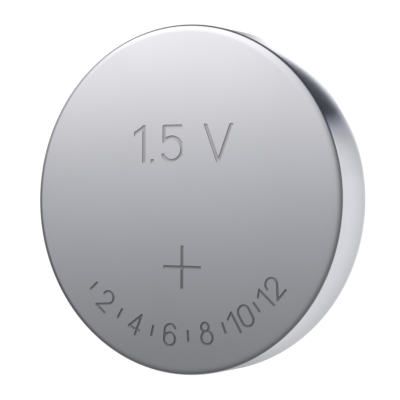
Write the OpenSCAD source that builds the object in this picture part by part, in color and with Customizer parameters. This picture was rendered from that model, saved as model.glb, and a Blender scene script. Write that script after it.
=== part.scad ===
// Alkaline button cell, 11.6 x 3.05 mm size, millimetres.
//
// The cell lies on its negative contact: z = 0 is the underside of the cap,
// the marked positive face is on top, and the z axis is the cell's own axis.
// Every round piece is one section turned about that axis.

/* [Cell] */
// Outer diameter of the can
cell_d = 11.6; // [9.5:0.1:16]
// Overall height, negative contact to positive face
cell_h = 3.05; // [2.95:0.05:5.4]
// Height by which the negative contact stands out below the crimped lip
cap_proud = 0.25; // [0.1:0.05:0.3]

/* [Positive can] */
// Sheet thickness of the can
can_wall = 0.25; // [0.18:0.01:0.30]
// Radius of the rounded edge round the positive face
face_edge_r = 0.25; // [0.12:0.01:0.4]
// Radius of the corner inside the can
inner_edge_r = 0.10; // [0.05:0.01:0.2]
// Outer radius of the crimped shoulder
crimp_r = 1.10; // [1.0:0.01:1.3]

/* [Negative cap] */
// Sheet thickness of the cap
cap_wall = 0.18; // [0.12:0.01:0.2]
// Width of the gasket ring that shows between the lip and the cap
gasket_show = 0.30; // [0.2:0.01:0.45]
// Radius of the rounded edge round the negative contact
contact_edge_r = 0.35; // [0.25:0.01:0.45]
// Radius of the hollow corner where the cap turns out into its shoulder
foot_r = 0.12; // [0.06:0.01:0.15]
// Radius of the outer corner of the cap's shoulder
shoulder_r = 0.30; // [0.22:0.01:0.32]
// Gap inside the fold of the skirt
fold_gap = 0.04; // [0.03:0.01:0.08]

/* [Gasket] */
// Thickness of the gasket where it is squeezed
gasket_t = 0.30; // [0.2:0.01:0.33]
// Thickness of the gasket's base, between the skirt and the separator
base_t = 0.20; // [0.12:0.01:0.25]
// Thickness of the short leg inside the skirt
leg_t = 0.20; // [0.12:0.01:0.3]
// Height of the short leg inside the skirt
leg_h = 0.22; // [0.1:0.01:0.3]
// Height by which the gasket's visible end stands out below the lip
gasket_proud = 0.04; // [0.02:0.01:0.06]

/* [Inside] */
// Thickness of the cathode pellet at its rim
pellet_t = 0.80; // [0.6:0.05:0.9]
// Rounding of the pellet's edge against the can
pellet_edge_r = 0.15; // [0.12:0.01:0.25]
// Sheet thickness of the pellet ring
ring_t = 0.15; // [0.1:0.01:0.18]
// Width of the pellet ring's flat flange
ring_flange = 1.15; // [0.9:0.05:1.6]
// Height of the pellet ring's leg, flange included
ring_leg_h = 0.70; // [0.4:0.05:0.8]
// Thickness of the barrier film
film_t = 0.08; // [0.05:0.01:0.1]
// Thickness of the absorbent pad
pad_t = 0.30; // [0.2:0.01:0.35]
// Clearance between neighbouring pieces
fit = 0.02; // [0.01:0.005:0.03]

/* [Marks] */
// Depth of the engraved marks
mark_depth = 0.03; // [0.01:0.005:0.06]
// Distance by which the marks stand to the right of the axis
mark_shift = 0.10; // [0:0.05:0.3]
// Length of each arm of the plus sign, tip to tip
plus_size = 1.43; // [0.8:0.01:2]
// Line width of the plus sign
plus_line = 0.10; // [0.06:0.01:0.2]
// Distance of the plus sign below the centre
plus_drop = 2.23; // [1.5:0.01:2.6]
// Height of the voltage figures
volt_h = 1.26; // [0.8:0.01:1.6]
// Line width of the voltage figures
volt_line = 0.12; // [0.08:0.01:0.2]
// Height of the voltage figures' foot above the centre
volt_rise = 1.22; // [0.5:0.01:1.8]
// Height of the figures on the month scale
scale_h = 0.78; // [0.5:0.01:0.9]
// Line width of the month scale
scale_line = 0.075; // [0.05:0.005:0.12]
// Distance from the month scale's feet to the can's side
scale_inset = 0.92; // [0.6:0.01:1.3]
// Angle between one month and the next
scale_step = 8.9; // [7.5:0.1:12]

/* [Hidden] */
$fn = 96;

// can
can_r = cell_d / 2;
bore_r = can_r - can_wall;
roof_z = cell_h - can_wall;             // inner face of the can's end
bend_x = can_r - crimp_r;               // centre of the crimp's bend
bend_z = cap_proud + crimp_r;
lip_z = cap_proud + can_wall;           // upper face of the crimped lip

// stack below the can's end, from the top down
rim_z = roof_z - pellet_t;              // pellet's rim on the ring's flange
flange_z = rim_z - ring_t;              // underside of the flange
film_z = flange_z - film_t;             // underside of the barrier film
base_z = film_z - base_t;               // underside of the gasket's base
pad_z = film_z - pad_t;                 // underside of the pad

// cap
cap_r = bend_x - gasket_show;
shoulder_z = lip_z + gasket_t + 2 * fit;
fold_r = bore_r - gasket_t - 2 * fit;   // outer surface of the folded skirt
skirt_r = fold_r - cap_wall - fold_gap; // outer surface of the inner layer
skirt_in_r = skirt_r - cap_wall;
skirt_top = base_z - fit;
turn_x = skirt_r + fold_gap / 2;        // centre of the fold's turn
turn_r = cap_wall + fold_gap / 2;
turn_z = skirt_top - turn_r;
fold_end_z = shoulder_z + shoulder_r;   // where the folded layer ends

// inside
gasket_r = bore_r - fit;
leg_in_r = skirt_in_r - fit - leg_t;
ring_r = bore_r - fit;
ring_in_r = ring_r - ring_flange;
pellet_r = ring_r - ring_t - fit;
boss_r = ring_in_r - fit;
pad_r = leg_in_r - fit;
over = 1;                               // how far a cutter runs past a face
figure_gap = 0.17;                      // gap between figures, share of height

// ---- section helpers, x is the distance from the axis -----------------

module band(r0, r1, z0, z1) {
    translate([r0, z0]) square([r1 - r0, z1 - z0]);
}

module spot(x, z, r) {
    translate([x, z]) circle(r);
}

// Solid outline of a cup that opens downwards and closes in round the bend.
module cup(r, top, edge) {
    bend = r - bend_x;
    band(0, bend_x, bend_z - bend, top);
    band(0, r, bend_z, top - edge);
    band(0, r - edge, bend_z, top);
    spot(r - edge, top - edge, edge);
    spot(bend_x, bend_z, bend);
}

// Solid outline of the cap, moved inwards by k: contact, wall and shoulder.
module cap_outline(k) {
    hollow = foot_r + k;
    band(0, cap_r - contact_edge_r, k, skirt_top + over);
    band(0, cap_r - k, contact_edge_r, skirt_top + over);
    spot(cap_r - contact_edge_r, contact_edge_r, contact_edge_r - k);
    band(0, skirt_r - shoulder_r, shoulder_z + k, skirt_top + over);
    band(0, skirt_r - k, shoulder_z + shoulder_r, skirt_top + over);
    spot(skirt_r - shoulder_r, shoulder_z + shoulder_r, shoulder_r - k);
    difference() {
        band(0, cap_r - k + hollow, shoulder_z + k - hollow, skirt_top);
        spot(cap_r - k + hollow, shoulder_z + k - hollow, hollow);
    }
}

// ---- marks, drawn with strokes in an upright cell of width w, height h --

module stroke(x0, y0, x1, y1, line) {
    translate([x0, y0]) rotate(atan2(y1 - y0, x1 - x0))
        translate([0, -line / 2]) square([norm([x1 - x0, y1 - y0]), line]);
}

module wedge(r, a0, a1) {
    steps = ceil((a1 - a0) / 60);
    polygon(concat([[0, 0]],
        [for (i = [0 : steps]) let (a = a0 + (a1 - a0) * i / steps)
            2 * r * [cos(a), sin(a)]]));
}

module bow(x, y, r, a0, a1, line) {
    translate([x, y]) intersection() {
        difference() {
            circle(r + line / 2);
            circle(r - line / 2);
        }
        wedge(r + line, a0, a1);
    }
}

module loop(x, y, r, line) {
    bow(x, y, r, 0, 180, line);
    bow(x, y, r, 180, 360, line);
}

// Cell width of a figure as a share of its height.
function figure_w(c, h) =
    h * (c == "1" ? 0.36 : c == "." ? 0.16 : c == " " ? 0.3 : c == "V" ? 0.88 : 0.64);

// One figure, drawn with strokes; the cell it stands in trims their ends.
module figure(c, h, line) {
    intersection() {
        square([figure_w(c, h), h]);
        strokes(c, figure_w(c, h), h, line);
    }
}

module strokes(c, w, h, line) {
    a = line / 2;
    mid = w / 2;
    r = mid - a;                        // bowl that fills the cell's width
    top = h - a;
    if (c == "0") {
        bow(mid, top - r, r, 0, 180, line);
        bow(mid, a + r, r, 180, 360, line);
        stroke(a, a + r, a, top - r, line);
        stroke(w - a, a + r, w - a, top - r, line);
    }
    if (c == "1") {
        flag = 0.24 * h;                // drop of the flag's tip
        stroke(w - a, 0, w - a, h, line);
        stroke(w - a, top, 0, h - flag, line);
    }
    if (c == "2") {
        turn = -38;                     // where the bowl runs into the slope
        bow(mid, top - r, r, turn, 180, line);
        stroke(mid + r * cos(turn), top - r + r * sin(turn), a, a, line);
        stroke(0, a, w, a, line);
    }
    if (c == "4") {
        stem = 0.74 * w;
        bar = 0.28 * h;
        stroke(stem, 0, stem, h, line);
        stroke(0, bar, w, bar, line);
        stroke(stem, top, a, bar, line);
    }
    if (c == "5") {
        bowl = 0.31 * h;
        side = 0.08 * h;                // where the short upright stands
        left = asin((mid - side) / bowl);
        foot = a + bowl;
        stroke(side - a, top, w - a, top, line);
        stroke(side, top, side, foot + bowl * cos(left) - a, line);
        bow(mid, foot, bowl, -150, 90 + left, line);
    }
    if (c == "6") {
        loop(mid, a + r, r, line);
        stroke(a, a + r, a, top - r, line);
        bow(mid, top - r, r, 25, 180, line);
    }
    if (c == "8") {
        small = (h - line) / 2 - r;     // upper loop, on the lower one
        loop(mid, a + r, r, line);
        loop(mid, top - small, small, line);
    }
    if (c == "V") {
        leg = line * norm([mid, h]) / h;    // a leg's width along the foot line
        lean = mid - leg / 2;
        polygon([[0, h], [lean, 0], [lean + leg, 0], [w, h], [w - leg, h],
                 [mid, h - h * (mid - leg) / lean], [leg, h]]);
    }
    if (c == ".") square(line);
}

// Width of the first n figures of s, with the gap after each.
function row_w(s, h, gap, n) =
    n == 0 ? 0 : row_w(s, h, gap, n - 1) + figure_w(s[n - 1], h) + gap;

// Figures side by side, centred on x = 0, feet on y = 0.
module figures(s, h, line) {
    gap = figure_gap * h;
    total = row_w(s, h, gap, len(s)) - gap;
    for (i = [0 : len(s) - 1])
        translate([row_w(s, h, gap, i) - total / 2, 0]) figure(s[i], h, line);
}

module plus_sign() {
    translate([mark_shift, -plus_drop]) {
        stroke(-plus_size / 2, 0, plus_size / 2, 0, plus_line);
        stroke(0, -plus_size / 2, 0, plus_size / 2, plus_line);
    }
}

module voltage() {
    translate([mark_shift, volt_rise]) figures("1.5 V", volt_h, volt_line);
}

// Months round the lower edge: a figure at each even one, a tick at each odd.
module month_scale() {
    foot = can_r - scale_inset;
    tick = scale_h / 2;
    for (month = [1 : 12])
        rotate((month - 6.5) * scale_step) translate([0, -foot])
            if (month % 2 == 0) figures(str(month), scale_h, scale_line);
            else stroke(0, (scale_h - tick) / 2, 0, (scale_h + tick) / 2, scale_line);
}

// ---- pieces ------------------------------------------------------------

module positive_can() {
    color("silver") difference() {
        rotate_extrude() difference() {
            cup(can_r, cell_h, face_edge_r);
            cup(bore_r, roof_z, inner_edge_r);
            band(0, bend_x, 0, bend_z);
        }
        translate([0, 0, cell_h - mark_depth]) linear_extrude(over) {
            plus_sign();
            voltage();
            month_scale();
        }
    }
}

module cathode_pellet() {
    color("dimgray") rotate_extrude() {
        band(0, pellet_r, rim_z, roof_z - pellet_edge_r);
        band(0, pellet_r - pellet_edge_r, rim_z, roof_z);
        intersection() {
            spot(pellet_r - pellet_edge_r, roof_z - pellet_edge_r, pellet_edge_r);
            band(0, pellet_r, rim_z, roof_z);
        }
        band(0, boss_r, flange_z, rim_z);
    }
}

module pellet_ring() {
    color("gainsboro") rotate_extrude() {
        band(ring_in_r, ring_r, flange_z, rim_z);
        band(ring_r - ring_t, ring_r, flange_z, flange_z + ring_leg_h);
    }
}

module barrier_film() {
    color("wheat") rotate_extrude() band(0, gasket_r, film_z, flange_z);
}

module absorbent_pad() {
    color("white") rotate_extrude() band(0, pad_r, pad_z, film_z);
}

module anode_gel() {
    color("slategray") rotate_extrude() difference() {
        cap_outline(cap_wall + fit);
        band(0, can_r, pad_z, skirt_top + 2 * over);
        band(pad_r, can_r, base_z - leg_h - fit, skirt_top + 2 * over);
    }
}

module gasket() {
    color("ivory") rotate_extrude() {
        difference() {
            union() {
                intersection() {
                    cup(gasket_r, film_z + over, fit);
                    band(0, gasket_r, 0, film_z);
                }
                // the end that shows between the lip and the cap
                band(cap_r + fit, bend_x - fit, cap_proud - gasket_proud, shoulder_z);
            }
            intersection() {
                cap_outline(-fit);
                band(0, gasket_r, -over, base_z);
            }
            band(0, fold_r + fit, fold_end_z - fit, base_z);
            band(0, leg_in_r, base_z - fit, film_z + over);
        }
        // the short leg inside the skirt
        band(leg_in_r, skirt_in_r - fit, base_z - leg_h, base_z);
    }
}

module negative_cap() {
    color("lightgray") rotate_extrude() {
        difference() {
            cap_outline(0);
            cap_outline(cap_wall);
            band(0, can_r, turn_z, skirt_top + 2 * over);
        }
        intersection() {
            difference() {
                spot(turn_x, turn_z, turn_r);
                spot(turn_x, turn_z, fold_gap / 2);
            }
            band(skirt_in_r, fold_r, turn_z, skirt_top);
        }
        band(turn_x + fold_gap / 2, fold_r, fold_end_z, turn_z);
    }
}

positive_can();
cathode_pellet();
pellet_ring();
barrier_film();
absorbent_pad();
anode_gel();
gasket();
negative_cap();
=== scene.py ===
import math
from collections import namedtuple

import bmesh
import bpy
import numpy as np
from bpy.props import FloatProperty, FloatVectorProperty, PointerProperty
from mathutils import Matrix, Vector
from mathutils.geometry import delaunay_2d_cdt


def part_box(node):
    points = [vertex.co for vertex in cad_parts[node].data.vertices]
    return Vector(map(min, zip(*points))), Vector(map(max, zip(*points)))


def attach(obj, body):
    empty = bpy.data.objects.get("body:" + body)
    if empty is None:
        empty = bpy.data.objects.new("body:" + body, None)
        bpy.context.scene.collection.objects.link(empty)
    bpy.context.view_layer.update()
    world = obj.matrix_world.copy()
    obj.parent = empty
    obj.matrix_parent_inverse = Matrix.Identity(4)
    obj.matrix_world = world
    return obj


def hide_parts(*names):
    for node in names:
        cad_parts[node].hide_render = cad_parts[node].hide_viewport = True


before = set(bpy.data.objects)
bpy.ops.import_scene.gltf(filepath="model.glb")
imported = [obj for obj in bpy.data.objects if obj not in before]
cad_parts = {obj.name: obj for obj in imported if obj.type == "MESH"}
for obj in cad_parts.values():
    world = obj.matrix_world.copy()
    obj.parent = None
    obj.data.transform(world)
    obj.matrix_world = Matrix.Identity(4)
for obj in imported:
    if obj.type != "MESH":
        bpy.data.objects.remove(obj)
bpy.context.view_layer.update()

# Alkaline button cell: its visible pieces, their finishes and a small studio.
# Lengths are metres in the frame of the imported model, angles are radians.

bl_info = {
    "name": "Button cell",
    "version": (1, 0, 0),
    "blender": (4, 5, 0),
    "location": "View3D > Sidebar > Button cell",
    "description": "Builds a round alkaline button cell, its finishes and a small studio",
    "category": "Object",
}

MM = 0.001
TURNS = 256                 # steps round the cell's axis
SUPPORT = 0.02 * MM         # distance of a support ring from the end of a straight run
LONG_RUN = 4 * SUPPORT      # straight runs longer than this get support rings
WELD = 1e-7                 # points nearer than this are one point
SHARP = math.radians(55)    # edges sharper than this are shaded as corners

CAN_LO, CAN_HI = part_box("positive_can")
CAP_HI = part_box("negative_cap")[1]
SEAL_LO, SEAL_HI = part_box("gasket")


def length(name, default, description):
    """A length property whose default is given in metres."""
    return FloatProperty(name=name, description=description, default=default, min=0.0,
                         unit="LENGTH", subtype="DISTANCE", precision=5)


def angle(name, default, description):
    """An angle property whose default is given in degrees."""
    return FloatProperty(name=name, description=description,
                         default=math.radians(default), subtype="ANGLE", precision=3)


def factor(name, default, description, highest=1.0):
    """A plain factor."""
    return FloatProperty(name=name, description=description, default=default,
                         min=0.0, max=highest, subtype="FACTOR", precision=3)


def colour(name, default, description):
    """A colour property, red, green and blue in linear light."""
    return FloatVectorProperty(name=name, description=description, default=default,
                               size=3, min=0.0, max=1.0, subtype="COLOR")


# ---- settings ---------------------------------------------------------------


class CellSizes(bpy.types.PropertyGroup):
    """Sizes of the can, the cap and the gasket."""

    diameter: length("Diameter", CAN_HI.x - CAN_LO.x, "Outer diameter of the can")
    height: length("Height", CAN_HI.z, "Height of the positive face above the floor")
    lip_height: length("Lip height", CAN_LO.z, "Height of the crimped lip above the floor")
    can_wall: length("Can wall", 0.25 * MM, "Sheet thickness of the can")
    face_edge: length("Face edge", 0.25 * MM, "Radius of the edge round the positive face")
    inner_edge: length("Inner edge", 0.10 * MM, "Radius of the corner inside the can")
    crimp: length("Crimp", 1.10 * MM, "Outer radius of the crimped shoulder")
    lip_edge: length("Lip edge", 0.04 * MM, "Radius that breaks the lip's cut edge")
    cap_wall: length("Cap wall", 0.18 * MM, "Sheet thickness of the cap")
    contact_edge: length("Contact edge", 0.35 * MM, "Radius round the negative contact")
    foot: length("Foot", 0.12 * MM, "Radius of the hollow corner below the shoulder")
    shoulder: length("Shoulder", 0.30 * MM, "Radius of the cap's shoulder")
    fold_gap: length("Fold gap", 0.04 * MM, "Gap inside the fold of the cap's skirt")
    gasket_show: length("Gasket show", 0.30 * MM, "Width of gasket between lip and cap")
    gasket: length("Gasket", 0.30 * MM, "Thickness of the gasket where it is squeezed")
    gasket_edge: length("Gasket edge", 0.07 * MM, "Rounding of the gasket's visible end")
    gasket_base: length("Gasket base", 0.20 * MM, "Thickness of the gasket's base")
    leg_width: length("Leg width", 0.20 * MM, "Thickness of the leg inside the skirt")
    leg_height: length("Leg height", 0.22 * MM, "Height of the leg inside the skirt")
    fit: length("Fit", 0.02 * MM, "Clearance between neighbouring pieces")


class CellMarks(bpy.types.PropertyGroup):
    """Sizes of the marks that are sunk into the positive face."""

    depth: length("Depth", 0.030 * MM, "Depth of the marks")
    burr: length("Burr", 0.001 * MM, "Height of the raised rim round each mark")
    shift: length("Shift", 0.10 * MM, "Distance of the marks to the right of the axis")
    plus_size: length("Plus size", 1.43 * MM, "Length of each arm of the plus sign")
    plus_line: length("Plus line", 0.10 * MM, "Line width of the plus sign")
    plus_drop: length("Plus drop", 2.23 * MM, "Distance of the plus sign below the centre")
    volt_height: length("Volt height", 1.26 * MM, "Height of the voltage figures")
    volt_line: length("Volt line", 0.12 * MM, "Line width of the voltage figures")
    volt_rise: length("Volt rise", 1.22 * MM, "Height of the figures' feet above the centre")
    scale_height: length("Scale height", 0.78 * MM, "Height of the month figures")
    scale_line: length("Scale line", 0.075 * MM, "Line width of the month scale")
    scale_inset: length("Scale inset", 0.92 * MM, "Distance from the scale's feet to the side")
    scale_step: angle("Scale step", 8.9, "Angle between one month and the next")


class CellFinishes(bpy.types.PropertyGroup):
    """Colours and roughness of the finishes."""

    plating: colour("Plating", (0.658, 0.668, 0.714), "Satin nickel of the can")
    plating_roughness: factor("Plating roughness", 0.16, "Roughness of the can's nickel")
    mark: colour("Mark", (0.34, 0.345, 0.365), "Etched floor of the marks")
    # the sides' colour is the etched finish darkened further by painted shade in the grooves
    mark_side: colour("Mark side", (0.22, 0.22, 0.235), "Etched sides of the marks")
    mark_roughness: factor("Mark roughness", 0.26, "Roughness of the marks")
    cap_plating: colour("Cap plating", (0.67, 0.67, 0.68), "Nickel of the cap")
    cap_roughness: factor("Cap roughness", 0.17, "Roughness of the cap's nickel")
    nylon: colour("Nylon", (0.72, 0.70, 0.62), "Natural nylon of the gasket")
    pellet: colour("Pellet", (0.030, 0.029, 0.028), "Pressed black cathode mix")
    ring: colour("Ring", (0.58, 0.58, 0.58), "Plated steel of the pellet ring")
    film: colour("Film", (0.66, 0.60, 0.47), "Cellophane barrier film")
    pad: colour("Pad", (0.80, 0.79, 0.76), "White fibre pad")
    gel: colour("Gel", (0.20, 0.21, 0.22), "Zinc powder in gel")


class StudioSettings(bpy.types.PropertyGroup):
    """Camera, white room, lamp and light tent."""

    aim: FloatVectorProperty(name="Aim", description="Point the camera looks at", size=3,
                             default=(0.772 * MM, -0.010 * MM, CAN_HI.z),
                             unit="LENGTH", subtype="XYZ")
    distance: length("Distance", 48.693 * MM, "Distance from the camera to its aim")
    tilt: angle("Tilt", 30.048, "Angle between the view and the cell's axis")
    heading: angle("Heading", -0.338, "Side towards which the view is tilted")
    roll: angle("Roll", 0.331, "Roll of the camera about its view")
    focal_length: FloatProperty(name="Focal length", description="Focal length of the lens",
                                default=133.86, min=1.0, unit="CAMERA")
    ambient: factor("Ambient", 0.72, "Light that the white room gives", 4.0)
    tent_radius: length("Tent radius", 30 * MM, "Radius of the light tent")
    tent_hole: length("Tent hole", 4.4 * MM, "Radius of the hole in the tent's table")
    key_power: FloatProperty(name="Key power", description="Power of the key lamp",
                             default=0.010, min=0.0, unit="POWER")


class CellSettings(bpy.types.PropertyGroup):
    """All settings of the button cell."""

    sizes: PointerProperty(type=CellSizes)
    marks: PointerProperty(type=CellMarks)
    finishes: PointerProperty(type=CellFinishes)
    studio: PointerProperty(type=StudioSettings)


# ---- sections and turned meshes ---------------------------------------------


def arc(centre_r, centre_z, radius, start, end, steps):
    """Points of an arc in the section plane, start and end in degrees."""
    turn = np.radians(np.linspace(start, end, steps + 1))
    return [(centre_r + radius * math.cos(a), centre_z + radius * math.sin(a)) for a in turn]


def supported(section, closed):
    """The section with a support point near both ends of each long straight run."""
    ends = section[1:] + ([section[0]] if closed else [])
    points = []
    for (r0, z0), (r1, z1) in zip(section, ends):
        points.append((r0, z0))
        run = math.hypot(r1 - r0, z1 - z0)
        if run > LONG_RUN:
            for share in (SUPPORT / run, 1 - SUPPORT / run):
                points.append((r0 + share * (r1 - r0), z0 + share * (z1 - z0)))
    return points if closed else points + [section[-1]]


def turned(section, closed, turns=TURNS):
    """Points and faces of a section turned about the axis; a point at r = 0 stays one."""
    points = []
    rings = []
    for r, z in section:
        count = 1 if r < WELD else turns
        rings.append((len(points), count))
        for k in range(count):
            a = 2 * math.pi * k / turns
            points.append((r * math.cos(a), r * math.sin(a), z))
    faces = []
    following = rings[1:] + ([rings[0]] if closed else [])
    for (first, count), (second, other) in zip(rings, following):
        for k in range(turns):
            n = (k + 1) % turns
            corners = [first + k % count, first + n % count,
                       second + n % other, second + k % other]
            faces.append(tuple(dict.fromkeys(corners)))
    return points, [f for f in faces if len(f) > 2]


def placed(name, data):
    """A new object in the scene."""
    thing = bpy.data.objects.new(name, data)
    bpy.context.scene.collection.objects.link(thing)
    return thing


def new_piece(name, points, faces, materials, node):
    """A smooth piece on the body root that stands for a node of the frame."""
    if name in bpy.data.objects:
        bpy.data.objects.remove(bpy.data.objects[name])
    mesh = bpy.data.meshes.new(name)
    mesh.from_pydata(points, [], faces)
    for material in materials:
        mesh.materials.append(material)
    weld(mesh)
    mesh.shade_smooth()
    mesh.set_sharp_from_angle(angle=SHARP)
    piece = placed(name, mesh)
    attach(piece, "root")
    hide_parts(node)
    return piece


def weld(mesh):
    """Joins points that coincide and turns the faces outwards."""
    work = bmesh.new()
    work.from_mesh(mesh)
    bmesh.ops.remove_doubles(work, verts=work.verts, dist=WELD)
    bmesh.ops.recalc_face_normals(work, faces=work.faces)
    work.to_mesh(mesh)
    work.free()


# ---- marks ------------------------------------------------------------------

Mark = namedtuple("Mark", "strokes width height line turn x y")
# strokes in an upright cell; the cell stands with its lower left corner at x, y
# and is then turned about the axis

MONTHS = 12
GRID = 0.012 * MM           # step of the grid on which the marks are traced
MARGIN = 3                  # grid steps between the widest line of a mark and the grid's end
NUDGE = 1e-6                # grid steps that keep a traced level off the grid's own points
SLACK = 0.05                # grid steps by which a thinned line may leave the traced one
LONGEST = 5.0               # most grid steps between two points of a thinned line
TOUCHING = 1e-6             # points of the face nearer than this, in millimetres, are one

# proportions of the figures, as shares of their height
WIDTHS = {"1": 0.36, ".": 0.16, " ": 0.30, "V": 0.88}
WIDTH = 0.64                # width of the other figures
GAP = 0.17                  # gap between two figures
FLAG = 0.76                 # height at which the flag of the 1 ends
CROSSBAR = 0.28             # height of the crossbar of the 4
BOWL = 0.31                 # radius of the bowl of the 5
BACK = 0.08                 # distance of the back of the 5 from its left side
STEM = 0.74                 # place of the stem of the 4, as a share of its width
TWO_END, FIVE_END, SIX_END = -38, -150, 25   # where the open curves end, in degrees


def bar(x0, y0, x1, y1):
    """Distance from the middle of a straight stroke, as a function of x and y."""
    dx, dy = x1 - x0, y1 - y0
    span = dx * dx + dy * dy

    def distance(x, y):
        share = np.clip(((x - x0) * dx + (y - y0) * dy) / span, 0, 1)
        return np.hypot(x - x0 - share * dx, y - y0 - share * dy)

    return distance


def bow(cx, cy, r, start, end):
    """Distance from the middle of a curved stroke; start and end in degrees."""
    a0 = math.radians(start)
    sweep = math.radians(end - start)

    def distance(x, y):
        along = (np.arctan2(y - cy, x - cx) - a0) % (2 * math.pi)
        tips = [np.hypot(x - cx - r * math.cos(a), y - cy - r * math.sin(a))
                for a in (a0, a0 + sweep)]
        across = np.abs(np.hypot(x - cx, y - cy) - r)
        return np.where(along <= sweep, across, np.minimum(*tips))

    return distance


def loop(cx, cy, r):
    """Distance from the middle of a round stroke."""
    return lambda x, y: np.abs(np.hypot(x - cx, y - cy) - r)


def strokes(figure, w, h, line):
    """Strokes of a figure in a cell of width w and height h."""
    a = line / 2
    mid = w / 2
    r = mid - a
    top = h - a
    if figure == "0":
        return [bow(mid, top - r, r, 0, 180), bow(mid, a + r, r, 180, 360),
                bar(a, a + r, a, top - r), bar(w - a, a + r, w - a, top - r)]
    if figure == "1":
        return [bar(w - a, 0, w - a, h), bar(w - a, top, 0, FLAG * h)]
    if figure == "2":
        turn = math.radians(TWO_END)
        tip = (mid + r * math.cos(turn), top - r + r * math.sin(turn))
        return [bow(mid, top - r, r, TWO_END, 180), bar(*tip, a, a), bar(0, a, w, a)]
    if figure == "4":
        stem = STEM * w
        level = CROSSBAR * h
        return [bar(stem, 0, stem, h), bar(0, level, w, level), bar(stem, top, a, level)]
    if figure == "5":
        bowl = BOWL * h
        side = BACK * h
        left = math.asin((mid - side) / bowl)
        join = a + bowl * (1 + math.cos(left))
        return [bar(side, top, w - a, top), bar(side, top, side, join),
                bow(mid, a + bowl, bowl, FIVE_END, 90 + math.degrees(left))]
    if figure == "6":
        return [loop(mid, a + r, r), bar(a, a + r, a, top - r),
                bow(mid, top - r, r, SIX_END, 180)]
    if figure == "8":
        small = (h - line) / 2 - r
        return [loop(mid, a + r, r), loop(mid, top - small, small)]
    if figure == "V":
        leg = line * math.hypot(mid, h) / h
        return [bar(leg / 2, h, mid, 0), bar(w - leg / 2, h, mid, 0)]
    raise ValueError("no strokes for " + figure)


def figures(text, h, line, x, y, turn=0.0):
    """Marks of a row of figures, centred on x with its feet on y."""
    widths = [WIDTHS.get(c, WIDTH) * h for c in text]
    left = x - (sum(widths) + GAP * h * (len(text) - 1)) / 2
    row = []
    for c, w in zip(text, widths):
        if c == ".":
            row.append(Mark([bar(0, line / 2, line, line / 2)], line, line, line, turn, left, y))
        elif c != " ":
            row.append(Mark(strokes(c, w, h, line), w, h, line, turn, left, y))
        left += w + GAP * h
    return row


def face_marks(sizes, marks):
    """All marks of the face: the plus sign, the voltage and the scale of months."""
    arm = marks.plus_size
    made = [Mark([bar(0, arm / 2, arm, arm / 2), bar(arm / 2, 0, arm / 2, arm)], arm, arm,
                 marks.plus_line, 0.0, marks.shift - arm / 2, -marks.plus_drop - arm / 2)]
    made += figures("1.5 V", marks.volt_height, marks.volt_line, marks.shift, marks.volt_rise)
    foot = marks.scale_inset - sizes.diameter / 2
    tick = marks.scale_height / 2
    line = marks.scale_line
    for month in range(1, MONTHS + 1):
        turn = (month - (MONTHS + 1) / 2) * marks.scale_step
        if month % 2 == 0:
            made += figures(str(month), marks.scale_height, line, 0.0, foot, turn)
        else:
            made.append(Mark([bar(line / 2, 0, line / 2, tick)], line, tick, line, turn,
                             -line / 2, foot + tick / 2))
    return made


def groove(marks):
    """Cross-section of a mark, from the flat over the burr and the side to the floor.

    Each point is a distance from the stroke's edge, negative inside, and a height.
    """
    d, b = marks.depth, marks.burr
    return [(0.9 * d, 0.0), (0.6 * d, 0.0), (0.32 * d, b), (0.12 * d, 0.0),
            (0.04 * d, -0.35 * d), (-0.05 * d, -0.76 * d), (-0.14 * d, -0.94 * d),
            (-0.34 * d, -d)]


def mark_distance(mark, x, y):
    """Distance from the edge of a mark's strokes, negative inside, in its own cell."""
    near = np.minimum.reduce([s(x, y) for s in mark.strokes]) - mark.line / 2
    across = np.abs(x - mark.width / 2) - mark.width / 2
    along = np.abs(y - mark.height / 2) - mark.height / 2
    cell = (np.hypot(np.maximum(across, 0), np.maximum(along, 0))
            + np.minimum(np.maximum(across, along), 0))
    return np.maximum(near, cell)


def crossings(values, level):
    """Links between the grid edges on which the values cross the level, and where."""
    inside = values < level
    mixed = inside[:-1, :-1] * 1 + inside[1:, :-1] + inside[:-1, 1:] + inside[1:, 1:]
    links = {}
    spots = {}
    for i, j in zip(*np.nonzero((mixed > 0) & (mixed < 4))):
        sides = [(i, j, i + 1, j), (i + 1, j, i + 1, j + 1),
                 (i, j + 1, i + 1, j + 1), (i, j, i, j + 1)]
        cut = [s for s in sides if inside[s[0], s[1]] != inside[s[2], s[3]]]
        for s in cut:
            v0, v1 = values[s[0], s[1]], values[s[2], s[3]]
            t = (level - v0) / (v1 - v0)
            spots[s] = (s[0] + t * (s[2] - s[0]), s[1] + t * (s[3] - s[1]))
        # where all four sides are cut, the cell's middle says which belong together
        if len(cut) == 4 and (values[i:i + 2, j:j + 2].mean() < level) != inside[i, j]:
            cut = cut[1:] + cut[:1]
        for k in range(0, len(cut), 2):
            if len(cut) == 4:
                pair = (cut[(k + 3) % 4], cut[k])
            else:
                pair = (cut[0], cut[1])
            links.setdefault(pair[0], []).append(pair[1])
            links.setdefault(pair[1], []).append(pair[0])
    return links, spots


def outlines(values, level):
    """Closed lines, in grid steps, along which the values equal the level."""
    links, spots = crossings(values, level)
    lines = []
    while links:
        start = here = next(iter(links))
        line = []
        while here in links:
            line.append(spots[here])
            ahead = [n for n in links.pop(here) if n in links]
            here = ahead[0] if ahead else start
        lines.append(np.array(line))
    return lines


def thinned(line):
    """The closed line without the points that lie on straight runs, within the slack."""
    kept = [0]
    last = len(line)
    while kept[-1] < last:
        start = kept[-1]
        end = start + 1
        while end < last:
            chord = line[(end + 1) % last] - line[start]
            size = np.hypot(*chord)
            if size > LONGEST:
                break
            between = line[start + 1:end + 1] - line[start]
            off = np.abs(between[:, 0] * chord[1] - between[:, 1] * chord[0]) / max(size, SLACK)
            if off.max() > SLACK:
                break
            end += 1
        kept.append(end)
    return line[kept[:-1]]


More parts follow.
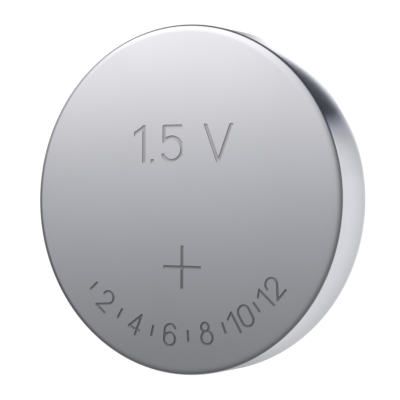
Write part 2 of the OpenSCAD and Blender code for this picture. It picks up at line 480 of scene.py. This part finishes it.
def mark_lines(mark, section):
    """Closed lines of a mark on the face, one or more for each point of its section."""
    margin = section[0][0] + MARGIN * GRID
    columns = int((mark.width + 2 * margin) / GRID) + 2
    rows = int((mark.height + 2 * margin) / GRID) + 2
    x = -margin + GRID * np.arange(columns)
    y = -margin + GRID * np.arange(rows)
    values = mark_distance(mark, *np.meshgrid(x, y, indexing="ij"))
    cos, sin = math.cos(mark.turn), math.sin(mark.turn)
    made = []
    for level, height in section:
        for line in outlines(values, level + NUDGE * GRID):
            local = thinned(line) * GRID - margin + (mark.x, mark.y)
            if len(local) > 2:
                swung = np.stack([local[:, 0] * cos - local[:, 1] * sin,
                                  local[:, 0] * sin + local[:, 1] * cos], axis=1)
                made.append((height, swung))
    return made


def marked_face(rim, marks, section, z):
    """Points and triangles of the flat face, with the marks sunk into it."""
    spots = [rim]
    heights = [np.zeros(len(rim))]
    for mark in marks:
        for height, line in mark_lines(mark, section):
            spots.append(line)
            heights.append(np.full(len(line), height))
    edges = []
    first = 0
    for line in spots:
        count = len(line)
        edges += [(first + k, first + (k + 1) % count) for k in range(count)]
        first += count
    flat = [Vector(p) for p in np.concatenate(spots) / MM]
    points, _, faces, sources, _, _ = delaunay_2d_cdt(flat, edges, [], 0, TOUCHING)
    if any(not s for s in sources):
        raise ValueError("lines of the marks cross each other")
    heights = np.concatenate(heights)
    solid = [(p.x * MM, p.y * MM, z + heights[s[0]]) for p, s in zip(points, sources)]
    return solid, [tuple(f) for f in faces]


# ---- finishes ---------------------------------------------------------------

Step = namedtuple("Step", "start end low high")
# a smooth step from low at start to high at end

PAINTED_LIGHT_Y = Step(-3.6 * MM, 1.0 * MM, 0.0, 1.0)   # painted light on the marks, lighter towards +Y, the side the light comes from
DIM_FLOOR, LIT_FLOOR = 0.84, 1.34         # shares of the tones of the marks' floor, in painted shade and painted light
DIM_SIDE, LIT_SIDE = 1.02, 1.95           # and of their sides


class Recipe:
    """A material under construction."""

    def __init__(self, name):
        stale = bpy.data.materials.get(name)
        if stale:
            bpy.data.materials.remove(stale)
        self.material = bpy.data.materials.new(name)
        self.material.use_nodes = True
        self.nodes = self.material.node_tree.nodes
        self.links = self.material.node_tree.links
        self.shader = self.nodes["Principled BSDF"]
        self.place = self.nodes.new("ShaderNodeTexCoord").outputs["Object"]

    def add(self, kind, output=0, settings=None, **inputs):
        """An output of a new node.

        Its inputs, values or outputs of other nodes, go by name or as i0, i1 and so on.
        """
        node = self.nodes.new("ShaderNode" + kind)
        for key, value in (settings or {}).items():
            setattr(node, key, value)
        for key, value in inputs.items():
            self.put(node.inputs[int(key[1:]) if key[0] == "i" else key], value)
        return node.outputs[output]

    def put(self, socket, value):
        """Sets a socket, or links it."""
        if isinstance(value, bpy.types.NodeSocket):
            self.links.new(value, socket)
        else:
            socket.default_value = value

    def set(self, name, value):
        """Sets an input of the shader, or links it."""
        self.put(self.shader.inputs[name], value)

    def stretched(self, scale):
        """The place on the piece, in metres, times a scale along each axis."""
        return self.add("VectorMath", settings={"operation": "MULTIPLY"},
                        i0=self.place, i1=scale)

    def noise(self, scale, detail=2.0, roughness=0.5, place=None):
        """Noise between 0 and 1 with features of about 1 / scale."""
        return self.add("TexNoise", Vector=place or self.place, Scale=scale, Detail=detail,
                        Roughness=roughness)

    def between(self, value, low, high, start=0.3, end=0.7):
        """A value whose range from start to end is brought to that from low to high."""
        return self.add("MapRange", i0=value, i1=start, i2=end, i3=low, i4=high)

    def blend(self, share, first, second):
        """A mix of two colours."""
        return self.add("Mix", output=2, settings={"data_type": "RGBA"}, i0=share,
                        i6=first, i7=second)

    def axes(self):
        """The x, y and z of the place on the piece."""
        split = self.nodes.new("ShaderNodeSeparateXYZ")
        self.links.new(self.place, split.inputs[0])
        return split.outputs[0], split.outputs[1], split.outputs[2]

    def step(self, value, start, end, low, high):
        """A smooth step from low at start to high at end."""
        return self.add("MapRange", settings={"interpolation_type": "SMOOTHSTEP"}, i0=value,
                        i1=start, i2=end, i3=low, i4=high)

    def number(self, operation, *values):
        """The result of an operation on numbers."""
        inputs = {"i" + str(k): value for k, value in enumerate(values)}
        return self.add("Math", settings={"operation": operation}, **inputs)

    def times(self, first, second):
        """A product."""
        return self.number("MULTIPLY", first, second)

    def plus(self, first, second):
        """A sum."""
        return self.number("ADD", first, second)

    def distance(self, place, centre=(0.0, 0.0, 0.0)):
        """Distance of a place from a centre."""
        return self.add("VectorMath", output=1, settings={"operation": "DISTANCE"},
                        i0=place, i1=centre)

    def mixed(self, share, first, second):
        """A mix of two numbers."""
        return self.add("Mix", i0=share, i2=first, i3=second)

    def surface(self, shader):
        """Puts another shader on the surface in place of the usual one."""
        self.nodes.remove(self.shader)
        self.links.new(shader, self.nodes["Material Output"].inputs["Surface"])

    def raised(self, height, strength, depth, normal=None):
        """Bump of a given depth in metres."""
        inputs = {"Height": height, "Strength": strength, "Distance": depth}
        if normal:
            inputs["Normal"] = normal
        return self.add("Bump", **inputs)


def shade(tone, share):
    """A colour made lighter or darker, with its alpha."""
    return tuple(min(1.0, c * share) for c in tone) + (1.0,)


def satin(r, roughness, grain):
    """Metal with the fine grain and the faint lines of satin nickel."""
    fine = r.noise(14000.0, detail=4.0, roughness=0.6)
    drawn = r.stretched((500.0, 500.0, 26000.0))
    lines = r.noise(1.0, detail=3.0, roughness=0.6, place=drawn)
    r.set("Metallic", 1.0)
    r.set("Roughness", r.between(fine, roughness * 0.92, roughness * 1.08))
    bump = r.raised(fine, strength=0.20 * grain, depth=0.0008 * MM)
    r.set("Normal", r.raised(lines, strength=0.25 * grain, depth=0.0012 * MM, normal=bump))


def nickel(name, tone, roughness):
    """Satin nickel plating on drawn steel sheet."""
    r = Recipe(name)
    cloud = r.between(r.noise(350.0, detail=3.0), 0.0, 1.0)
    r.set("Base Color", r.blend(cloud, shade(tone, 0.985), shade(tone, 1.015)))
    satin(r, roughness, grain=1.0)
    return r.material


def etched(name, floor, side, roughness, low, high):
    """Etched nickel, darkest on the sides of the marks with painted shade, and lighter towards
    +Y with painted light.

    The floor's finish ends at the height low and the sides' darker colour, painted shade, is
    whole from high.
    """
    r = Recipe(name)
    _, y, z = r.axes()
    stain = r.between(r.noise(2500.0, detail=3.0), 0.0, 0.12)
    # painted light: the marks' floor and sides grow lighter towards +Y, the side the light comes
    # from
    painted_light = r.step(y, *PAINTED_LIGHT_Y)
    deep = r.blend(painted_light, shade(floor, DIM_FLOOR), shade(floor, LIT_FLOOR))
    steep = r.blend(painted_light, shade(side, DIM_SIDE), shade(side, LIT_SIDE))
    # painted shade: above the floor the steep sides take their darker colour
    r.set("Base Color", r.blend(r.step(z, low, high, 0.0, 1.0),
                                r.blend(stain, deep, steep), steep))
    satin(r, roughness, grain=3.0)
    return r.material


def plastic(name, tone, roughness):
    """Natural nylon with a faint moulded texture."""
    r = Recipe(name)
    cloud = r.between(r.noise(900.0, detail=3.0), 0.0, 1.0)
    fine = r.noise(9000.0, detail=3.0, roughness=0.6)
    r.set("Base Color", r.blend(cloud, shade(tone, 0.95), shade(tone, 1.04)))
    r.set("Roughness", r.between(fine, roughness * 0.85, roughness * 1.15))
    r.set("Subsurface Weight", 0.15)
    r.set("Subsurface Scale", 0.1 * MM)
    r.set("Normal", r.raised(fine, strength=0.4, depth=0.004 * MM))
    return r.material


def powder(name, tone, roughness, grain, depth):
    """Pressed or gelled powder with dark and light specks."""
    r = Recipe(name)
    cloud = r.noise(700.0, detail=4.0)
    specks = r.add("TexVoronoi", Vector=r.place, Scale=grain)
    mottled = r.blend(r.between(cloud, 0.0, 1.0), shade(tone, 0.75), shade(tone, 1.2))
    bright = r.between(specks, low=0.6, high=0.0, start=0.0, end=0.35)
    r.set("Base Color", r.blend(bright, mottled, shade(tone, 2.2)))
    r.set("Roughness", r.between(cloud, roughness * 0.85, min(1.0, roughness * 1.1)))
    r.set("Normal", r.raised(specks, strength=0.6, depth=depth))
    return r.material


def fibres(name, tone, roughness, density):
    """Matted fibres that lie in the plane of the sheet."""
    r = Recipe(name)
    run = density * 0.12
    layers = [r.noise(1.0, detail=3.0, roughness=0.6, place=r.stretched(scale))
              for scale in ((density, run, density), (run, density, density))]
    mat = r.number("MAXIMUM", *layers)
    thick = r.between(mat, low=0.0, high=1.0, start=0.4, end=0.75)
    r.set("Base Color", r.blend(thick, shade(tone, 0.86), shade(tone, 1.03)))
    r.set("Roughness", r.between(mat, roughness * 0.9, roughness))
    r.set("Normal", r.raised(mat, strength=0.5, depth=0.02 * MM))
    return r.material


# ---- pieces -----------------------------------------------------------------

# depths below the face, as shares of the marks' depth
SUNK = 0.05                 # faces below this have the marks' finish
SIDE_START = 0.88           # the sides' finish, with its painted shade, is whole above this
FLOOR_END = 0.98            # and the floor's below this
BELOW = 1.5                 # no face of a mark lies as low as this


def can_section(s, face_z):
    """Section of the can, from the flat of its face round the lip to the inner roof."""
    can_r = s.diameter / 2
    bend_r = can_r - s.crimp
    bend_z = s.lip_height + s.crimp
    inner = s.crimp - s.can_wall
    e = s.lip_edge
    tuck = math.degrees(math.asin(e / s.crimp))
    inner_tuck = math.degrees(math.asin(e / inner))
    roof = s.height - s.can_wall
    bore = can_r - s.can_wall
    low = bend_z - math.sqrt(s.crimp ** 2 - e ** 2)
    high = bend_z - math.sqrt(inner ** 2 - e ** 2)
    return (
        [(can_r - s.face_edge - SUPPORT, face_z)]
        + arc(can_r - s.face_edge, face_z - s.face_edge, s.face_edge, 90, 0, 20)
        + arc(bend_r, bend_z, s.crimp, 0, tuck - 90, 32)[:-1]
        + arc(bend_r + e, low + e, e, -90, -180, 5)
        + arc(bend_r + e, high - e, e, 180, 90, 5)
        + arc(bend_r, bend_z, inner, inner_tuck - 90, 0, 20)[1:]
        + arc(bore - s.inner_edge, roof - s.inner_edge, s.inner_edge, 0, 90, 6)
        + [(0.0, roof)]
    )


def build_can(settings):
    """The can with its crimped lip and the marks in its face."""
    s, marks, finish = settings.sizes, settings.marks, settings.finishes
    face_z = s.height - marks.burr
    section = supported(can_section(s, face_z), closed=False)
    points, faces = turned(section, closed=False)
    rim = np.array([p[:2] for p in points[:TURNS]])
    sheet, triangles = marked_face(rim, face_marks(s, marks), groove(marks), face_z)
    first = len(points)
    top_z = face_z - SUNK * marks.depth
    sunk = sum(sum(sheet[k][2] for k in f) / 3 < top_z for f in triangles)
    faces += [tuple(first + k for k in f) for f in triangles]
    materials = [nickel("nickel_plating", finish.plating, finish.plating_roughness),
                 etched("etched_mark", finish.mark, finish.mark_side, finish.mark_roughness,
                        face_z - FLOOR_END * marks.depth, face_z - SIDE_START * marks.depth)]
    piece = new_piece("can_shell", points + sheet, faces, materials, "positive_can")
    flat_r = s.diameter / 2 - s.face_edge
    in_mark = [face_z - BELOW * marks.depth < p.center.z < top_z
               and math.hypot(p.center.x, p.center.y) < flat_r
               for p in piece.data.polygons]
    piece.data.polygons.foreach_set("material_index", [int(v) for v in in_mark])
    if sum(in_mark) != sunk:
        raise ValueError("the marks lost faces when the face was joined to the can")
    return piece


def cap_places(s):
    """Radii of the cap's side and skirt, heights of its step and of the fold's end."""
    side = s.diameter / 2 - s.crimp - s.gasket_show
    skirt = CAP_HI.x - s.cap_wall - s.fold_gap
    step = s.lip_height + s.can_wall + s.gasket + 2 * s.fit
    return side, skirt, step, step + s.shoulder


def cap_section(s):
    """Section of the cap, out along its outside, round the skirt and back inside."""
    cap_r, skirt, step, fold_end = cap_places(s)
    wall = s.cap_wall
    fold_r = CAP_HI.x
    turn_r = wall + s.fold_gap / 2
    turn_x = skirt + s.fold_gap / 2
    turn_z = CAP_HI.z - turn_r
    hollow = s.foot + wall
    return (
        [(0.0, 0.0)]
        + arc(cap_r - s.contact_edge, s.contact_edge, s.contact_edge, -90, 0, 16)
        + arc(cap_r + s.foot, step - s.foot, s.foot, 180, 90, 8)
        + arc(skirt - s.shoulder, fold_end, s.shoulder, -90, 0, 12)
        + arc(turn_x, turn_z, s.fold_gap / 2, 180, 0, 6)
        + [(turn_x + s.fold_gap / 2, fold_end), (fold_r, fold_end)]
        + arc(turn_x, turn_z, turn_r, 0, 180, 16)
        + arc(skirt - s.shoulder, fold_end, s.shoulder - wall, 0, -90, 8)
        + arc(cap_r + s.foot, step - s.foot, hollow, 90, 180, 10)
        + arc(cap_r - s.contact_edge, s.contact_edge, s.contact_edge - wall, 0, -90, 8)
        + [(0.0, wall)]
    )


def build_cap(settings):
    """The cap, the negative contact."""
    finish = settings.finishes
    section = supported(cap_section(settings.sizes), closed=False)
    points, faces = turned(section, closed=False)
    material = nickel("cap_nickel", finish.cap_plating, finish.cap_roughness)
    return new_piece("cap_shell", points, faces, [material], "negative_cap")


def gasket_section(s):
    """Closed section of the gasket between the can and the cap."""
    cap_r, skirt, step, fold_end = cap_places(s)
    bend_r = s.diameter / 2 - s.crimp
    bend_z = s.lip_height + s.crimp
    bend = SEAL_HI.x - bend_r
    inner, outer = cap_r + s.fit, bend_r - s.fit
    e = s.gasket_edge
    top = SEAL_HI.z
    base = top - s.gasket_base
    fold_r = CAP_HI.x + s.fit
    leg_out = skirt - s.cap_wall - s.fit
    leg_in = leg_out - s.leg_width
    dip = math.degrees(math.asin(s.fit / bend))
    return (
        arc(inner + e, SEAL_LO.z + e, e, 180, 270, 6)
        + arc(outer - e, SEAL_LO.z + e, e, -90, 0, 6)
        + arc(bend_r, bend_z, bend, -90 - dip, 0, 16)
        + [(SEAL_HI.x, top), (leg_in, top), (leg_in, base - s.leg_height),
           (leg_out, base - s.leg_height), (leg_out, base), (fold_r, base),
           (fold_r, fold_end - s.fit)]
        + arc(skirt - s.shoulder, fold_end, s.shoulder + s.fit, 0, -90, 10)
        + arc(cap_r + s.foot, step - s.foot, s.foot - s.fit, 90, 180, 6)
    )


def build_gasket(settings):
    """The gasket, whose end shows as a ring round the cap."""
    finish = settings.finishes
    section = supported(gasket_section(settings.sizes), closed=True)
    points, faces = turned(section, closed=True)
    material = plastic("natural_nylon", finish.nylon, roughness=0.45)
    return new_piece("gasket_ring", points, faces, [material], "gasket")


def finish_inside(settings):
    """Gives the pieces inside the cell their finishes."""
    tone = settings.finishes
    finishes = {
        "cathode_pellet": powder("pressed_mix", tone.pellet, roughness=0.75,
                                 grain=9000.0, depth=0.02 * MM),
        "pellet_ring": nickel("ring_nickel", tone.ring, roughness=0.30),
        "barrier_film": plastic("cellophane", tone.film, roughness=0.25),
        "absorbent_pad": fibres("fibre_pad", tone.pad, roughness=0.9, density=16000.0),
        "anode_gel": powder("zinc_gel", tone.gel, roughness=0.35,
                            grain=6000.0, depth=0.03 * MM),
    }
    for node, material in finishes.items():
        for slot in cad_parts[node].material_slots:
            slot.material = material


# ---- studio -----------------------------------------------------------------

WHITE = (1.0, 1.0, 1.0, 1.0)
SENSOR_WIDTH = 36.0         # millimetres, as the focal length
NEAREST = 1.0 * MM          # the camera sees nothing nearer
FARTHEST = 2.0              # or farther

LAMP_PLACE = (30 * MM, 50 * MM, 90 * MM)
LAMP_WIDTH = 60 * MM

FLOOR_WIDTH = 800 * MM
FLOOR_Z = -0.01 * MM        # just below the cell
FLOOR_PAINT = (0.82, 0.82, 0.82, 1.0)
GLOW = 1.16                 # strength of the floor's glow, which keeps it white
GLOW_SEEN = 0.82            # share of the glow in what the camera sees, beside the paint
GLOW_MIRRORED = 0.5         # share of the glow in mirrored rays

# The tent is a sphere and a table. Its tones are smooth steps along x, y and z, along
# the distance from a centre, and along a bearing, which is a sine on the sphere and an
# angle on the table. Left is -X and behind is +Y.
TENT_STEPS = 64             # steps from the bottom to the top of the sphere

# the sphere: a fan of tones about a pivot on its left
PIVOT = 14.7 * MM           # distance of the pivot from the axis
SLANT = 0.107               # rise of the line through it where the bearing is 0
BLUR = 9.2 * MM             # nearer to it than this the tones run together
FAN_LEVEL, FAN_SLOPE, FAN_CURVE = 0.628, 0.517, 0.195   # brightness over the bearing
# darker low down and at the left end, brighter and warmer behind
APRON_HEIGHT = Step(-7.4 * MM, 29.2 * MM, 0.625, 0.0)
APRON_TURN = Step(0.045, 0.862, 1.0, 0.0)
LEFT_END = Step(-28.2 * MM, -19.2 * MM, 0.516, 1.0)
RISE_FAR = Step(8.0 * MM, 26.0 * MM, 0.0, 0.188)
RISE_TURN = Step(0.5, 1.0, 0.0, 1.0)
WARM_TURN = Step(-0.3, 0.9, 0.0, 1.0)
WARM = (1.025, 1.0, 0.985, 1.0)

# the table: paper that is brightest behind, with a painted shadow of the cell that makes it
# darker near the cell and in front
PAPER = Step(6.19 * MM, 6.87 * MM, 0.801, 1.034)
PAINTED_SHADOW_FRONT = Step(-6.62 * MM, -0.5 * MM, 0.886, 1.0)
PAPER_BACK = Step(1.0 * MM, 6.0 * MM, 0.0, 4.3)
# a dark tail in the paper, on the right
TAIL_TURN = Step(math.radians(6.3), math.radians(25.3), 0.0, 0.67)
TAIL_INSIDE = Step(5.04 * MM, 6.58 * MM, 0.0, 1.0)
TAIL_OUTSIDE = Step(6.85 * MM, 8.5 * MM, 1.0, 0.0)
# one tone on the left, as far as the paper's start
LEFT_TONE = 0.50
PAPER_START = Step(0.41 * MM, 3.58 * MM, 0.0, 1.0)
# a dark ring round both, darker still behind
RING_CENTRE = (0.0, -1.3 * MM, 0.0)
RING_START = Step(8.0 * MM, 8.9 * MM, 0.0, 1.0)
RING = Step(5.5 * MM, 11.0 * MM, 0.203, 0.02)
# a nearly black, bluish bow behind, on the right
BOW_CENTRE = (-1.12 * MM, -0.83 * MM, 0.0)
BOW_START = Step(7.62 * MM, 7.86 * MM, 0.0, 1.0)
BOW_RIGHT = Step(math.radians(20.0), math.radians(35.5), 0.0, 1.0)
BOW_LEFT = Step(math.radians(60.0), math.radians(81.0), 1.0, 0.0)
BOW_TONE = 0.05
BOW_TINT = (0.96, 1.0, 1.2, 1.0)
# outwards the table takes on the sphere's tones
FADE = Step(1.0 * MM, 43.5 * MM, 0.0, 1.0)


def camera_axes(studio):
    """Right, up and back directions of the camera."""
    sin, cos = math.sin(studio.tilt), math.cos(studio.tilt)
    back = Vector((sin * math.cos(studio.heading), sin * math.sin(studio.heading), cos))
    up = Vector((0, 1, 0))
    up = (up - up.dot(back) * back).normalized()
    right = up.cross(back)
    sin, cos = math.sin(studio.roll), math.cos(studio.roll)
    return cos * right + sin * up, cos * up - sin * right, back


def add_camera(studio):
    """The camera that looks down on the positive face from the +X side."""
    data = bpy.data.cameras.new("camera")
    data.lens = studio.focal_length
    data.sensor_width = SENSOR_WIDTH
    data.clip_start = NEAREST
    data.clip_end = FARTHEST
    camera = placed("camera", data)
    right, up, back = camera_axes(studio)
    camera.matrix_world = (
        Matrix.Translation(Vector(studio.aim) + back * studio.distance)
        @ Matrix((right, up, back)).transposed().to_4x4()
    )
    bpy.context.scene.camera = camera


def seen_rays(tree):
    """1 on rays from the camera, or mirrored or bent by the object, else 0."""
    path = tree.nodes.new("ShaderNodeLightPath")
    total = path.outputs["Is Camera Ray"]
    for name in ("Is Glossy Ray", "Is Transmission Ray"):
        either = tree.nodes.new("ShaderNodeMath")
        either.operation = "MAXIMUM"
        tree.links.new(total, either.inputs[0])
        tree.links.new(path.outputs[name], either.inputs[1])
        total = either.outputs[0]
    return total


def add_room(studio):
    """A white room that lights the object softly."""
    world = bpy.data.worlds.new("white_room")
    bpy.context.scene.world = world
    world.use_nodes = True
    tree = world.node_tree
    tree.nodes.clear()
    seen = seen_rays(tree)
    lit = tree.nodes.new("ShaderNodeBackground")
    lit.inputs["Color"].default_value = WHITE
    lit.inputs["Strength"].default_value = studio.ambient
    shown = tree.nodes.new("ShaderNodeBackground")
    shown.inputs["Color"].default_value = WHITE
    mix = tree.nodes.new("ShaderNodeMixShader")
    out = tree.nodes.new("ShaderNodeOutputWorld")
    tree.links.new(seen, mix.inputs[0])
    tree.links.new(lit.outputs[0], mix.inputs[1])
    tree.links.new(shown.outputs[0], mix.inputs[2])
    tree.links.new(mix.outputs[0], out.inputs["Surface"])


def stage_sheet(name, points, faces):
    """A sheet of the studio."""
    mesh = bpy.data.meshes.new(name)
    mesh.from_pydata(points, [], faces)
    sheet = placed(name, mesh)
    return sheet


def hide_but_mirrored(sheet):
    """Only mirroring and clear surfaces see the sheet."""
    sheet.visible_camera = False
    sheet.visible_diffuse = False
    sheet.visible_shadow = False
    sheet.visible_volume_scatter = False


def bearing(r, x, y):
    """Sine of the bearing from the fan's pivot, and the distance from it."""
    right = r.plus(x, PIVOT)
    ahead = r.plus(y, r.times(right, -SLANT))
    far = r.distance(r.add("CombineXYZ", X=right, Y=ahead))
    return r.number("DIVIDE", ahead, r.number("MAXIMUM", far, BLUR)), far


def tent_tones(r):
    """Brightness and colour of the sphere, a fan of tones that brightens towards +Y."""
    x, y, z = r.axes()
    turn, far = bearing(r, x, y)
    slope = r.number("MULTIPLY_ADD", turn, FAN_CURVE, FAN_SLOPE)
    fan = r.number("MULTIPLY_ADD", turn, slope, FAN_LEVEL)
    low = r.times(r.step(z, *APRON_HEIGHT), r.step(turn, *APRON_TURN))
    apron = r.plus(1.0, r.times(low, -1.0))
    rise = r.plus(1.0, r.times(r.step(far, *RISE_FAR), r.step(turn, *RISE_TURN)))
    tone = r.times(r.times(fan, apron), r.times(r.step(x, *LEFT_END), rise))
    return tone, r.blend(r.step(turn, *WARM_TURN), WHITE, WARM)


def table_tones(r):
    """Brightness and colour of the table."""
    x, y, _ = r.axes()
    far = r.distance(r.place)
    turn = r.number("ARCTAN2", y, x)
    # painted shadow of the cell, seen in the metal: the paper is darker near the cell and in
    # front
    paper = r.plus(r.times(r.step(far, *PAPER), r.step(y, *PAINTED_SHADOW_FRONT)),
                   r.step(y, *PAPER_BACK))
    tail = r.times(r.step(turn, *TAIL_TURN),
                   r.times(r.step(far, *TAIL_INSIDE), r.step(far, *TAIL_OUTSIDE)))
    disc = r.mixed(r.step(x, *PAPER_START), LEFT_TONE, r.mixed(tail, paper, 0.0))
    ring = r.step(r.distance(r.place, RING_CENTRE), *RING_START)
    near = r.mixed(ring, disc, r.step(y, *RING))
    bow_far = r.distance(r.place, BOW_CENTRE)
    dark = r.times(r.step(bow_far, *BOW_START),
                   r.times(r.step(turn, *BOW_RIGHT), r.step(turn, *BOW_LEFT)))
    near = r.mixed(dark, near, BOW_TONE)
    return (r.mixed(r.step(far, *FADE), near, tent_tones(r)[0]),
            r.blend(dark, WHITE, BOW_TINT))


def add_tent(studio):
    """A light tent that only mirrored rays see: a sphere and a table round the cell."""
    size = studio.tent_radius
    sphere = [(0.0, -size)] + arc(0.0, 0.0, size, -90, 90, TENT_STEPS)[1:-1] + [(0.0, size)]
    table = [(studio.tent_hole, 0.0), (size, 0.0)]
    for name, section, finish, tones in (
            ("light_tent", sphere, "tent_fabric", tent_tones),
            ("tent_table", table, "tent_paper", table_tones)):
        sheet = stage_sheet(name, *turned(section, closed=False, turns=2 * TENT_STEPS))
        hide_but_mirrored(sheet)
        r = Recipe(finish)
        tone, tint = tones(r)
        r.surface(r.add("Emission", Strength=tone, Color=tint))
        sheet.data.materials.append(r.material)


def add_floor():
    """A plain white floor that keeps the object's shadow and is clear from below."""
    half = FLOOR_WIDTH / 2
    corners = [(-half, -half, FLOOR_Z), (half, -half, FLOOR_Z),
               (half, half, FLOOR_Z), (-half, half, FLOOR_Z)]
    floor = stage_sheet("floor", corners, [(0, 1, 2, 3)])
    floor.visible_glossy = False
    floor.visible_diffuse = False
    r = Recipe("white_floor")
    path = r.nodes.new("ShaderNodeLightPath")
    mirrored = r.number("MAXIMUM", path.outputs["Is Glossy Ray"],
                        path.outputs["Is Transmission Ray"])
    share = r.plus(r.times(path.outputs["Is Camera Ray"], GLOW_SEEN),
                   r.times(mirrored, GLOW_MIRRORED))
    paint = r.add("BsdfDiffuse", Color=FLOOR_PAINT)
    top = r.add("MixShader", i0=share, i1=paint, i2=r.add("Emission", Strength=GLOW))
    below = r.nodes.new("ShaderNodeNewGeometry").outputs["Backfacing"]
    r.surface(r.add("MixShader", i0=below, i1=top, i2=r.add("BsdfTransparent")))
    floor.data.materials.append(r.material)


def add_lamp(studio, aim):
    """The soft square lamp, turned towards its aim."""
    data = bpy.data.lights.new("key_lamp", "AREA")
    data.shape = "SQUARE"
    data.size = LAMP_WIDTH
    data.energy = studio.key_power
    lamp = placed("key_lamp", data)
    back = (Vector(LAMP_PLACE) - aim).normalized()
    lamp.matrix_world = (Matrix.Translation(LAMP_PLACE)
                         @ back.to_track_quat("Z", "Y").to_matrix().to_4x4())
    lamp.visible_glossy = False


def build_studio(settings):
    """Camera, white room, floor, lamp and light tent."""
    studio = settings.studio
    bpy.context.scene.view_settings.view_transform = "Standard"
    add_camera(studio)
    add_room(studio)
    add_floor()
    add_lamp(studio, Vector((0, 0, settings.sizes.height / 2)))
    add_tent(studio)


# ---- operators, panel and registration --------------------------------------


class BUTTONCELL_OT_can(bpy.types.Operator):
    """Build the can with its crimped lip and the marks in its face"""

    bl_idname = "button_cell.can"
    bl_label = "Can"

    def execute(self, context):
        build_can(context.scene.button_cell)
        return {"FINISHED"}


class BUTTONCELL_OT_cap(bpy.types.Operator):
    """Build the cap, the negative contact"""

    bl_idname = "button_cell.cap"
    bl_label = "Cap"

    def execute(self, context):
        build_cap(context.scene.button_cell)
        return {"FINISHED"}


class BUTTONCELL_OT_gasket(bpy.types.Operator):
    """Build the gasket between the can and the cap"""

    bl_idname = "button_cell.gasket"
    bl_label = "Gasket"

    def execute(self, context):
        build_gasket(context.scene.button_cell)
        return {"FINISHED"}


class BUTTONCELL_OT_inside(bpy.types.Operator):
    """Finish the pieces inside the cell"""

    bl_idname = "button_cell.inside"
    bl_label = "Inside"

    def execute(self, context):
        finish_inside(context.scene.button_cell)
        return {"FINISHED"}


class BUTTONCELL_OT_studio(bpy.types.Operator):
    """Set up the camera, the white room, the floor, the lamp and the light tent"""

    bl_idname = "button_cell.studio"
    bl_label = "Studio"

    def execute(self, context):
        build_studio(context.scene.button_cell)
        return {"FINISHED"}


OPERATORS = (BUTTONCELL_OT_can, BUTTONCELL_OT_cap, BUTTONCELL_OT_gasket,
             BUTTONCELL_OT_inside, BUTTONCELL_OT_studio)
GROUPS = ("sizes", "marks", "finishes", "studio")


class BUTTONCELL_PT_panel(bpy.types.Panel):
    """Settings of the button cell and the buttons that build it"""

    bl_idname = "BUTTONCELL_PT_panel"
    bl_label = "Button cell"
    bl_space_type = "VIEW_3D"
    bl_region_type = "UI"
    bl_category = "Button cell"

    def draw(self, context):
        column = self.layout.column()
        for operator in OPERATORS:
            column.operator(operator.bl_idname)
        for name in GROUPS:
            group = getattr(context.scene.button_cell, name)
            box = self.layout.box()
            box.label(text=name.capitalize())
            for key in group.__annotations__:
                box.prop(group, key)


CLASSES = (CellSizes, CellMarks, CellFinishes, StudioSettings, CellSettings,
           *OPERATORS, BUTTONCELL_PT_panel)


def register():
    """Registers the classes and puts the settings on the scene."""
    for cls in CLASSES:
        bpy.utils.register_class(cls)
    bpy.types.Scene.button_cell = PointerProperty(type=CellSettings)


def unregister():
    """Takes the settings off the scene and removes the classes."""
    del bpy.types.Scene.button_cell
    for cls in reversed(CLASSES):
        bpy.utils.unregister_class(cls)


def main():
    """Builds the cell and the studio."""
    register()
    bpy.ops.button_cell.can()
    bpy.ops.button_cell.cap()
    bpy.ops.button_cell.gasket()
    bpy.ops.button_cell.inside()
    bpy.ops.button_cell.studio()


if __name__ == "__main__":
    main()
